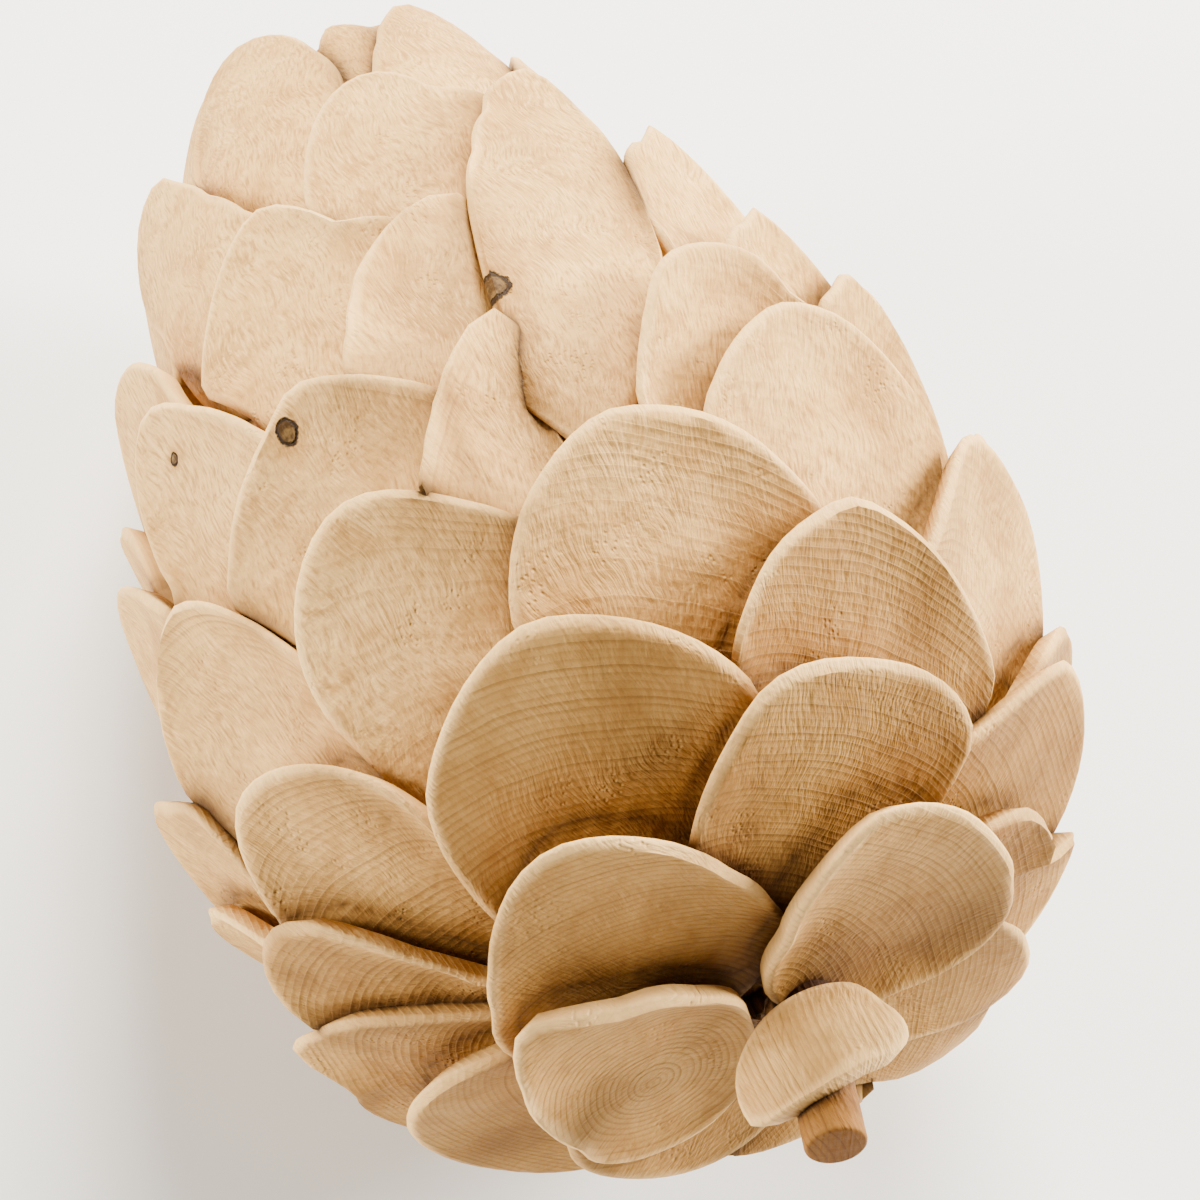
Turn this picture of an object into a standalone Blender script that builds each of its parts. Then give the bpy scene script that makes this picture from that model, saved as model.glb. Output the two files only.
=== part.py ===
"""A stone pine cone carved from one block of stone pine wood, lying on its side.

The cone is first shaped upright in its own frame, with its stem end at the origin and its
axis along +Y, and then laid down so that it rests on the floor, at z = 0.
Every length is in metres.
"""

import math

import bmesh
import bpy
import numpy as np
from mathutils import Matrix, Vector

MM = 0.001

# The egg that the tips of the scales reach
BODY_RADIUS = 78 * MM
BODY_LENGTH = 270 * MM
WIDEST_AT = 0.375
STEM_END_FULLNESS = 3.0
TIP_END_FULLNESS = 1.25

# The solid middle that the scales are carved from
CORE_DEPTH = 11 * MM
CORE_SIDES = 24
CORE_RINGS = 12

# How the cone lies: the tip droops until the weight is over the flats that the floor leaves
DROOP = math.radians(10)
FLAT_CUT = 1.6 * MM

# How the scales wind round the cone
GOLDEN_TURN = math.radians(137.5)
FIRST_SCALE = -15
LAST_SCALE = 66
FRONT_TURN = math.radians(1.0)
AREA_PER_SCALE = 1216 * MM**2
AREA_AT_ZERO = 25.8 * AREA_PER_SCALE

# One scale
HALF_WIDTH = 26 * MM
TIP_HALF_WIDTH = 19 * MM
FREE_LENGTH = 31 * MM
ROOT_LENGTH = 44 * MM
BELLY_SQUARENESS = 2.25
TIP_SQUARENESS = 1.6
ROOT_SQUARENESS = 2.0
TILT = math.tan(math.radians(13))
RIM_THICKNESS = 3.0 * MM
RIM_BEVEL = 0.9 * MM
DISH_DEPTH = 4.5 * MM
ROOT_DEPTH = 14 * MM
SHORTEST_ROOT = 6 * MM
POLE_MARGIN = 2 * MM
LIP = 0.9
UNDERCUT = 0.96
APEX_SHARE = 0.1
FREE_END_POINTS = 8
ROOT_END_POINTS = 3

# The collar of scales round the stem: turn in degrees, then reach from the stem, half width
# and how far it stands over the others, in mm
COLLAR = (
    (-104, 46, 25, 2.5),
    (-49, 55, 28, 0),
    (50, 49, 21, 2.5),
    (90, 48, 19, -1),
    (120, 45, 18, -2),
    (166, 43, 22, -2),
    (-146, 43, 22, -1),
)
COLLAR_FREE_LENGTH = 24 * MM
COLLAR_SQUARENESS = 2.6
COLLAR_TILT = math.tan(math.radians(17))

# The small scale that roofs the root of the stem
ROOF_ROOT = Vector((4, 11, 9)) * MM
ROOF_FORWARD = Vector((0, -1, 0))
ROOF_SIDE = Vector((26, 5, 5))
ROOF_BEND = 14 * MM
ROOF_REACH = 19 * MM
ROOF_HALF_WIDTH = 16 * MM
ROOF_FREE_LENGTH = 9 * MM
ROOF_CROWN = 1 * MM

# Where the carver left the spiral: turn in degrees and shift towards the tip in mm
CARVER_SHIFTS = {
    -15: (-6, 2), -13: (5, -3), -11: (-21, 10), -10: (3, 0), -8: (-8, -1),
    -6: (-9, -4), -5: (-10, 0), -3: (-16, 4), 0: (-2, 8), 2: (-18, 14),
    3: (2, 3), 5: (-1, 3), 8: (6, 9), 10: (-3, 13), 13: (1, 8), 15: (-16, 0), 16: (4, 9),
    18: (10, -1), 21: (13, -6), 23: (-13, 12), 26: (12, 12), 29: (7, -8), 31: (-3, -3), 36: (-12, 0),
    37: (-14, 4), 39: (7, -2), 42: (6, 9), 44: (-7, -3), 47: (12, 8),
    52: (-4, 9), 55: (15, 18), 57: (-14, 0), 60: (-2, 8), 63: (-15, 0),
}

# Scales that differ from the others: not carved, half width and root length in mm, the fall to
# one side, how square the free end is, and how far it leans to one side
LEFT_OUT = (34, 50)
HALF_WIDTHS = {-8: 27.5, 0: 28, 13: 16, 16: 18, 21: 22, 26: 16.5, 29: 17, 37: 17, 42: 24}
ROOT_LENGTHS = {5: 34, 13: 28, 42: 75}
ROLLS = {13: 0.25, 26: 0.2}
SQUARENESSES = {13: 1.6, 16: 1.45, 29: 1.45, 37: 1.45, 44: 1.5}
LEANS = {
    -5: -0.1, -3: -0.2, 5: -0.2, 10: -0.35, 18: -0.3, 23: -0.35, 31: -0.3, 39: -0.3, 44: -0.35, 52: -0.45,
}

# The share of the egg's surface that carries scales, and how fast their dishes fade towards the tip
CARVED_SHARE = 0.985
DISH_FADE = 1.5

# The stem stub
STEM_RADIUS = 4.8 * MM
STEM_OUTSIDE = 13.5 * MM
STEM_ROOT_DEPTH = 45 * MM
STEM_SIDES = 20
STEM_CHAMFER = 0.7 * MM
STEM_FLARE = 1.2


def egg_radius(along):
    """Radius of the egg at a distance along its axis from the stem end."""
    widest = WIDEST_AT * BODY_LENGTH
    if along < widest:
        share = 1 - np.clip((widest - along) / widest, 0, 1) ** STEM_END_FULLNESS
    else:
        share = 1 - np.clip((along - widest) / (BODY_LENGTH - widest), 0, 1) ** TIP_END_FULLNESS
    return BODY_RADIUS * math.sqrt(max(share, 0.0))


class Meridian:
    """The egg's side line, read by the distance along it from the stem end."""

    def __init__(self, steps=2000):
        turn = np.linspace(0, math.pi, steps)
        self.along = BODY_LENGTH * (1 - np.cos(turn)) / 2
        self.radius = np.array([egg_radius(a) for a in self.along])
        step = np.hypot(np.diff(self.along), np.diff(self.radius))
        self.run = np.concatenate([[0], np.cumsum(step)])
        band = math.pi * (self.radius[1:] + self.radius[:-1]) * step
        self.area = np.concatenate([[0], np.cumsum(band)])

    def run_at_area(self, area):
        return float(np.interp(area, self.area, self.run))

    def run_at_along(self, along):
        return float(np.interp(along, self.along, self.run))

    def at(self, run):
        """Distance along the axis, radius, and the outward direction there as (axial, radial)."""
        span = 3 * MM
        run = min(max(run, span), self.run[-1] - span)
        a0, a1 = np.interp([run - span, run + span], self.run, self.along)
        r0, r1 = np.interp([run - span, run + span], self.run, self.radius)
        length = math.hypot(a1 - a0, r1 - r0)
        return (
            float(np.interp(run, self.run, self.along)),
            float(np.interp(run, self.run, self.radius)),
            (-(r1 - r0) / length, (a1 - a0) / length),
        )


MERIDIAN = Meridian()


def on_egg(run, turn, sideways, height):
    """The point at a distance along the meridian at turn, moved sideways round the egg and lifted off it."""
    along, radius, (out_axial, out_radial) = MERIDIAN.at(run)
    bend = radius / out_radial
    angle = sideways / bend
    outward = Vector((math.sin(turn), 0, math.cos(turn)))
    across = Vector((math.cos(turn), 0, -math.sin(turn)))
    axis = Vector((0, 1, 0))
    centre = outward * radius + axis * along
    normal = outward * out_radial + axis * out_axial
    reach = bend + height
    return centre + (normal * math.cos(angle) + across * math.sin(angle)) * reach - normal * bend


def signed_power(value, power):
    return math.copysign(abs(value) ** power, value)


def scale_outline(angle, scale):
    """A point of the outline seen flat: sideways, and towards the tip from the widest place."""
    c, s = math.cos(angle), math.sin(angle)
    squareness = scale["squareness"] if s > 0 else ROOT_SQUARENESS
    length = scale["free"] if s > 0 else scale["root"]
    forward = length * signed_power(s, 2 / squareness)
    return scale["half"] * signed_power(c, 2 / squareness) + scale["lean"] * max(forward, 0), forward


def on_scale(scale, share, angle, height):
    """The point at a share of the way out to the rim and a height over the flat of the scale."""
    sideways, forward = scale_outline(angle, scale)
    back = scale["free"] - forward * share
    lift = height + scale["lift"] - back * scale["tilt"] - sideways * share * scale["roll"]
    return scale["lay"](scale, sideways * share, back, lift)


def on_body(scale, sideways, back, lift):
    """The point of a scale that lies along the egg."""
    return on_egg(scale["run"] - back, scale["turn"], sideways, lift)


def on_roof(scale, sideways, back, lift):
    """The point of the small scale over the stem, which bends down to both sides."""
    side = (ROOF_SIDE - ROOF_FORWARD * ROOF_SIDE.dot(ROOF_FORWARD)).normalized()
    out = ROOF_FORWARD.cross(side)
    angle = sideways / ROOF_BEND
    reach = ROOF_BEND + lift
    foot = ROOF_ROOT + ROOF_FORWARD * (scale["run"] - back) - out * ROOF_BEND
    return foot + (side * math.sin(angle) + out * math.cos(angle)) * reach


def outline_turns():
    """The angles of the points round a scale, closer together at its free end than at its root."""
    free = [math.pi * k / (FREE_END_POINTS - 1) for k in range(FREE_END_POINTS)]
    root = [math.pi * (1 + (k + 1) / (ROOT_END_POINTS + 1)) for k in range(ROOT_END_POINTS)]
    return free + root


def scale_solid(name, scale):
    """One scale as a closed solid: a dished face, a bevelled rim and a back that narrows into the core."""
    rings = (
        (LIP, 0.0),
        (1.0, -RIM_BEVEL),
        (UNDERCUT, -RIM_BEVEL - RIM_THICKNESS),
    )
    turns = outline_turns()
    shape = bmesh.new()
    centre = shape.verts.new(on_scale(scale, 0, 0, -scale["dish"]))
    loops = [
        [shape.verts.new(on_scale(scale, share, turn, height)) for turn in turns]
        for share, height in rings
    ]
    apex = shape.verts.new(on_scale(scale, APEX_SHARE, -math.pi / 2, -ROOT_DEPTH))
    for k in range(len(turns)):
        n = (k + 1) % len(turns)
        shape.faces.new((centre, loops[0][k], loops[0][n]))
        for inner, outer in zip(loops, loops[1:]):
            shape.faces.new((inner[k], outer[k], outer[n], inner[n]))
        shape.faces.new((loops[-1][k], apex, loops[-1][n]))
    bmesh.ops.recalc_face_normals(shape, faces=shape.faces)
    return new_object(name, shape)


def new_object(name, shape):
    mesh = bpy.data.meshes.new(name)
    shape.to_mesh(mesh)
    shape.free()
    made = bpy.data.objects.new(name, mesh)
    bpy.context.scene.collection.objects.link(made)
    return made


def turned_solid(name, profile, sides):
    """A solid of revolution round +Y, closed by a point at each end of the profile."""
    shape = bmesh.new()
    first = shape.verts.new((0, profile[0][0], 0))
    last = shape.verts.new((0, profile[-1][0], 0))
    loops = [
        [
            shape.verts.new((r * math.sin(2 * math.pi * k / sides), a, r * math.cos(2 * math.pi * k / sides)))
            for k in range(sides)
        ]
        for a, r in profile[1:-1]
    ]
    for k in range(sides):
        n = (k + 1) % sides
        shape.faces.new((first, loops[0][k], loops[0][n]))
        for low, high in zip(loops, loops[1:]):
            shape.faces.new((low[k], high[k], high[n], low[n]))
        shape.faces.new((loops[-1][k], last, loops[-1][n]))
    bmesh.ops.recalc_face_normals(shape, faces=shape.faces)
    return new_object(name, shape)


def core():
    profile = []
    for k in range(CORE_RINGS + 1):
        share = (1 - math.cos(math.pi * k / CORE_RINGS)) / 2
        run = share * MERIDIAN.run[-1]
        along, radius, (out_axial, out_radial) = MERIDIAN.at(run)
        profile.append((along - out_axial * CORE_DEPTH, max(radius - out_radial * CORE_DEPTH, 1 * MM)))
    profile[0] = (CORE_DEPTH, 0)
    profile[-1] = (BODY_LENGTH - CORE_DEPTH, 0)
    return turned_solid("core", profile, CORE_SIDES)


def stem():
    profile = (
        (-STEM_OUTSIDE, 0),
        (-STEM_OUTSIDE, STEM_RADIUS - STEM_CHAMFER),
        (-STEM_OUTSIDE + STEM_CHAMFER, STEM_RADIUS),
        (0, STEM_RADIUS),
        (STEM_ROOT_DEPTH, STEM_RADIUS * STEM_FLARE),
        (STEM_ROOT_DEPTH, 0),
    )
    return turned_solid("stem", profile, STEM_SIDES)


def taper(along):
    """The share of the way from the widest place to the tip."""
    widest = WIDEST_AT * BODY_LENGTH
    return min(max((along - widest) / (BODY_LENGTH - widest), 0), 1)


def scale_row(run, turn, half_width, **own):
    """What one scale is made from, with the common values where it has none of its own."""
    row = {
        "lay": on_body,
        "run": run,
        "turn": turn,
        "half": half_width,
        "free": FREE_LENGTH,
        "root": ROOT_LENGTH,
        "dish": DISH_DEPTH,
        "squareness": BELLY_SQUARENESS,
        "tilt": TILT,
        "roll": 0.0,
        "lift": 0.0,
        "lean": 0.0,
    }
    row.update(own)
    row["root"] = max(min(row["root"], run - row["free"] - POLE_MARGIN), SHORTEST_ROOT)
    return row


def spiral_rows():
    rows = {}
    for n in range(FIRST_SCALE, LAST_SCALE + 1):
        area = AREA_AT_ZERO + n * AREA_PER_SCALE
        if n in LEFT_OUT or area > CARVED_SHARE * MERIDIAN.area[-1]:
            continue
        turn_shift, along_shift = CARVER_SHIFTS.get(n, (0, 0))
        along = MERIDIAN.at(MERIDIAN.run_at_area(area))[0] + along_shift * MM
        narrowing = taper(along)
        usual_half_width = HALF_WIDTH + (TIP_HALF_WIDTH - HALF_WIDTH) * narrowing
        usual_squareness = BELLY_SQUARENESS + (TIP_SQUARENESS - BELLY_SQUARENESS) * narrowing
        rows[f"scale_{n}"] = scale_row(
            MERIDIAN.run_at_along(along),
            FRONT_TURN + n * GOLDEN_TURN + math.radians(turn_shift),
            HALF_WIDTHS[n] * MM if n in HALF_WIDTHS else usual_half_width,
            root=ROOT_LENGTHS[n] * MM if n in ROOT_LENGTHS else ROOT_LENGTH,
            dish=DISH_DEPTH * (1 - DISH_FADE * narrowing),
            squareness=SQUARENESSES.get(n, usual_squareness),
            roll=ROLLS.get(n, 0.0),
            lean=LEANS.get(n, 0.0),
        )
    return rows


def collar_rows():
    rows = {}
    for k, (turn, reach, half_width, lift) in enumerate(COLLAR):
        rows[f"collar_{k}"] = scale_row(
            reach * MM, math.radians(turn), half_width * MM,
            free=COLLAR_FREE_LENGTH, tilt=COLLAR_TILT, lift=lift * MM, squareness=COLLAR_SQUARENESS,
        )
    rows["roof"] = scale_row(
        ROOF_REACH, 0, ROOF_HALF_WIDTH, lay=on_roof, free=ROOF_FREE_LENGTH, dish=-ROOF_CROWN, tilt=0.0
    )
    return rows


def joined(body, pieces):
    """One solid of the body and all the pieces."""
    group = bpy.data.collections.new("pieces")
    bpy.context.scene.collection.children.link(group)
    for piece in pieces:
        bpy.context.scene.collection.objects.unlink(piece)
        group.objects.link(piece)
    union = body.modifiers.new("union", "BOOLEAN")
    union.operation = "UNION"
    union.operand_type = "COLLECTION"
    union.collection = group
    union.solver = "MANIFOLD"
    graph = bpy.context.evaluated_depsgraph_get()
    body.data = bpy.data.meshes.new_from_object(body.evaluated_get(graph))
    body.modifiers.clear()
    for piece in pieces:
        bpy.data.objects.remove(piece)
    bpy.data.collections.remove(group)
    return body


def lay_down(body):
    """Droop the tip, cut the lowest scales flat at the floor and centre the cone over the origin."""
    shape = bmesh.new()
    shape.from_mesh(body.data)
    shape.transform(Matrix.Rotation(-DROOP, 4, "X"))
    floor = min(v.co.z for v in shape.verts) + FLAT_CUT
    everything = shape.verts[:] + shape.edges[:] + shape.faces[:]
    cut = bmesh.ops.bisect_plane(
        shape, geom=everything, plane_co=(0, 0, floor), plane_no=(0, 0, -1), clear_outer=True
    )
    edges = [e for e in cut["geom_cut"] if isinstance(e, bmesh.types.BMEdge)]
    bmesh.ops.holes_fill(shape, edges=edges)
    xs = [v.co.x for v in shape.verts]
    ys = [v.co.y for v in shape.verts]
    middle = Vector(((min(xs) + max(xs)) / 2, (min(ys) + max(ys)) / 2, floor))
    shape.transform(Matrix.Translation(-middle))
    shape.to_mesh(body.data)
    shape.free()


def wood():
    made = bpy.data.materials.new("stone_pine_wood")
    made.use_nodes = True
    surface = made.node_tree.nodes["Principled BSDF"]
    surface.inputs["Base Color"].default_value = (0.62, 0.42, 0.24, 1)
    surface.inputs["Roughness"].default_value = 0.6
    return made


def build():
    for old in list(bpy.data.objects):
        bpy.data.objects.remove(old)
    body = core()
    body.name = "cone"
    rows = collar_rows() | spiral_rows()
    joined(body, [stem()] + [scale_solid(name, row) for name, row in rows.items()])
    lay_down(body)
    body.data.materials.append(wood())
    return body


build()
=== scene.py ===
"""The carved stone pine cone: one piece of wood, with its growth rings, knots, rims pale from wear and a
painted highlight, painted shade, and tool marks.
"""

import math

import bmesh
import bpy
import numpy as np
from mathutils import Matrix, Vector
from mathutils.bvhtree import BVHTree
from mathutils.kdtree import KDTree

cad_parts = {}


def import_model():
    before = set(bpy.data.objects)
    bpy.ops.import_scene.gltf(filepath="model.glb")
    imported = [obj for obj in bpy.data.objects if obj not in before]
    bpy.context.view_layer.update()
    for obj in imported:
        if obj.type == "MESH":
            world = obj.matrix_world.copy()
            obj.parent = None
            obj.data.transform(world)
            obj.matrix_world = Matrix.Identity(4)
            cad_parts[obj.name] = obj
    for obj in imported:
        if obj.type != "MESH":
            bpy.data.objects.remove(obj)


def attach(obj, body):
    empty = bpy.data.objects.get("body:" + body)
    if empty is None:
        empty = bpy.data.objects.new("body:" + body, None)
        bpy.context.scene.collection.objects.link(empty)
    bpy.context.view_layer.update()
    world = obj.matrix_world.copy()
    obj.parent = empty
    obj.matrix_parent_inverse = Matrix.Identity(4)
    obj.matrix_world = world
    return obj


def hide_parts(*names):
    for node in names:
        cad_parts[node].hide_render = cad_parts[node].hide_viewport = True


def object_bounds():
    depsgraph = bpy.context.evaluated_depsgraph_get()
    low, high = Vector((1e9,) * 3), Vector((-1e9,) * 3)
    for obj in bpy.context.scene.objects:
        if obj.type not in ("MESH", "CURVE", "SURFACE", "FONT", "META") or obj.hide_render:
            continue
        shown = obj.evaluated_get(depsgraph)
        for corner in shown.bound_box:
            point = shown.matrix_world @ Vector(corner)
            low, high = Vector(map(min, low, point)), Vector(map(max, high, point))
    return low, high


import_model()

CAD_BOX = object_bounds()
MM = 0.001

# The egg that the tips of the scales reach, as in the part's source
BODY_RADIUS = 78 * MM
BODY_LENGTH = 270 * MM
WIDEST_AT = 0.375
STEM_END_FULLNESS = 3.0
TIP_END_FULLNESS = 1.25

# The solid middle below the scales, and how the cone lies
CORE_DEPTH = 18 * MM
CORE_SIDES = 96
CORE_RINGS = 64
DROOP = math.radians(10)

# How the scales wind round the cone
GOLDEN_TURN = math.radians(137.5)
FIRST_SCALE = -15
LAST_SCALE = 66
FRONT_TURN = math.radians(1.0)
AREA_PER_SCALE = 1216 * MM**2
AREA_AT_ZERO = 25.8 * AREA_PER_SCALE

# One scale
HALF_WIDTH = 26 * MM
TIP_HALF_WIDTH = 19 * MM
FREE_LENGTH = 31 * MM
ROOT_LENGTH = 44 * MM
BELLY_SQUARENESS = 2.25
TIP_SQUARENESS = 1.6
ROOT_SQUARENESS = 2.0
TILT = math.tan(math.radians(13))
RIM_THICKNESS = 3.0 * MM
RIM_ROUND = 0.9 * MM
DISH_DEPTH = 4.5 * MM
ROOT_DEPTH = 17 * MM
SHORTEST_ROOT = 6 * MM
POLE_MARGIN = 2 * MM
UNDERCUT = 0.96

# The collar of scales round the stem: turn in degrees, then reach from the stem, half width
# and how far it stands over the others, in mm
COLLAR = (
    (-104, 46, 25, 2.5),
    (-49, 55, 28, 0),
    (50, 49, 21, 2.5),
    (100, 49, 19, -1),
    (124, 49, 18, -2),
    (166, 43, 22, -2),
    (-146, 43, 22, -1),
)

# The collar's scales in order, from the one that stands in front of all the others
COLLAR_FROM_FRONT = (0, 2, 3, 4, 6, 1, 5)
COLLAR_FREE_LENGTH = 24 * MM
COLLAR_SQUARENESS = 2.6
COLLAR_TILT = math.tan(math.radians(17))

# The small scale that roofs the root of the stem
ROOF_ROOT = Vector((4, 11, 9)) * MM
ROOF_FORWARD = Vector((0, -1, 0))
ROOF_SIDE = Vector((-26, -5, -5))
ROOF_BEND = 20 * MM
ROOF_REACH = 19 * MM
ROOF_HALF_WIDTH = 16 * MM
ROOF_FREE_LENGTH = 9 * MM
ROOF_CROWN = 1 * MM

# Where the carver left the spiral: turn in degrees and shift towards the tip in mm
CARVER_SHIFTS = {
    -15: (-6, 2), -13: (5, -3), -11: (-21, 10), -10: (3, 0), -8: (-8, -1),
    -6: (-9, -4), -5: (-10, 0), -3: (-16, 4), 0: (-2, 8), 2: (-18, 22),
    3: (2, 3), 5: (-1, 3), 8: (6, 9), 10: (-3, 13), 13: (-7, 8), 15: (-16, 0), 16: (4, 9),
    18: (10, -1), 21: (13, -6), 23: (-13, 12), 26: (5, 12), 29: (7, -8), 31: (-3, -3), 36: (-12, 0),
    37: (-14, 4), 39: (7, -2), 42: (-3, 9), 44: (-7, -3), 47: (12, 8),
    52: (-4, 9), 55: (15, 18), 57: (-14, 0), 60: (-2, 8), 63: (-15, 0),
}

# Scales that differ from the others: not carved, how steep they stand, half width and root
# length in mm, the fall to one side, how square the free end is, and how far it leans to one side
LEFT_OUT = (34, 50)
TILTS = {42: math.tan(math.radians(7))}
HALF_WIDTHS = {-8: 27.5, 0: 28, 13: 16, 16: 18, 21: 22, 26: 16.5, 29: 17, 37: 17, 42: 19}
ROOT_LENGTHS = {5: 34, 13: 28, 42: 75}
ROLLS = {13: 0.6, 26: 0.4}
SQUARENESSES = {13: 1.6, 16: 1.45, 29: 1.45, 37: 1.45, 44: 1.5}
LEANS = {
    -5: -0.1, -3: -0.2, 5: -0.2, 10: -0.35, 18: -0.3,
    23: -0.35, 31: -0.3, 39: -0.3, 44: -0.35, 52: -0.45,
}

# Pairs of which the first isn't cut back behind the second, because they run together
MERGED = {("scale_42", "scale_13"), ("scale_42", "scale_26")}

# The share of the egg's surface that carries scales, and how fast dishes fade towards the tip
CARVED_SHARE = 0.985
DISH_FADE = 1.5

# The stem's peg, which leans to one side
STEM_RADIUS = 4.8 * MM
STEM_SIDES = 48
STEM_OUTSIDE = 13.5 * MM
STEM_ROOT_DEPTH = 22 * MM
STEM_ASIDE = 3.5 * MM
STEM_LEAN = math.radians(-13)
STEM_WORN_EDGE = 0.7 * MM
STEM_EDGE_STEPS = 3

# The fine surface of a scale: its points and rings, the hollow of its face, and its small unevenness
ROUND_POINTS = 54
FACE_RINGS = 11
RIM_RINGS = 4
BACK_RINGS = 3
FACE_CROWDING = 1.3
DISH_SHAPE = 3.2
CROWN_SHAPE = 2
LIP = 0.93
WAVER = 0.015
WAVER_WAVES = 5
SWELL = 0.4 * MM
SWELL_WAVES = 3
SHARP_EDGE = math.radians(50)

# How outlines are read off the photo: steps all round, the fade into the rule's outline past
# their ends, the smoothing in steps, their least and greatest share of the rule's outline, and
# how often and how far a point is moved to find where a pixel lies
OUTLINE_STEPS = 360
OUTLINE_FADE = math.radians(30)
OUTLINE_SOFTNESS = 7
OUTLINE_SHARES = (0.55, 2.2)
FITTING_ROUNDS = 20
FITTING_STRIDE = 8 * MM

# How far a scale stays below the face in front, and how near the middles of two have to be to meet
CLEARANCE = 1.2 * MM
MEETING_DISTANCE = 85 * MM

# The numbers that faces carry of the piece they belong to
CORE_OWNER = 0
PEG_OWNER = 1
FIRST_SCALE_OWNER = 2

# What the colour is told of the shape: a distance that counts as in the open, the mark of the
# peg, points along the creases, and the rays that look for shelter
FAR = 30 * MM
PEG_MARK = 200 * MM
CREASE_STEP = 0.4 * MM
SHELTER_START = 0.3 * MM
SHELTER_REACH = 25 * MM
SHELTER_RAYS = 12

# The pith line that the growth rings run round, in the upright cone's frame, the knots by their
# centre and radius, and how far below its centre each knot starts
PITH = Vector((-18.4, 0, -8.8)) * MM
KNOTS = (
    (Vector((-8.8, 113.4, 67.6)) * MM, 2.9 * MM),
    (Vector((-47.1, 100.6, 59.3)) * MM, 1.8 * MM),
    (Vector((-61.4, 127.1, 35.1)) * MM, 1.1 * MM),
)
KNOT_DEPTH = 2.5 * MM

# The wood's figure: rings from year to year, how far they waver, and the swirl of the strokes
RING_SPACING = 1.1 * MM
RING_WAVER = 1.6 * MM
STROKE_SWIRL = 12 * MM

# How far the pale rims and the painted shade reach: the pale of the rims, partly wear and partly a painted
# highlight, from full to none and how ragged it is, painted shade along creases, and painted shadow below the
# rim of a scale in front, both wide and soft and fine and dark
WORN_AND_HIGHLIT_RIM = (0.9 * MM, 2.6 * MM)
RAGGEDNESS = 1.2 * MM
CREASE_WIDE = 4.2 * MM
CREASE_FINE = 1.0 * MM
BEHIND_WIDE = 5.5 * MM
BEHIND_FINE = 1.2 * MM

# How deep the small marks of the surface are
RELIEF = 0.25 * MM

# Colours of the wood
PALE = (0.82, 0.49, 0.165, 1)
WARM = (0.72, 0.42, 0.135, 1)
LATE = (0.42, 0.22, 0.06, 1)
# pale of the rims, partly wear and partly a painted highlight; it also lightens the pale tool strokes
PALE_WEAR_AND_HIGHLIGHT = (0.90, 0.565, 0.22, 1)
# darker tint: the real darkening of end grain, and painted shade in the hollows, along the creases and below
# the rim of a scale in front
END_GRAIN_AND_SHADE = (0.60, 0.52, 0.38, 1)
# painted shade: the dark of the fine lines in the creases and below the rims in front
CREASE_SHADE = (0.075, 0.032, 0.008, 1)
STAIN = (0.60, 0.46, 0.26, 1)
HEART = (0.06, 0.027, 0.006, 1)
PALE_HEART = (0.19, 0.105, 0.03, 1)
BARK = (0.024, 0.010, 0.002, 1)
# painted shade of the peg
PEG_SHADE_TINT = (0.42, 0.32, 0.18, 1)

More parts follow.
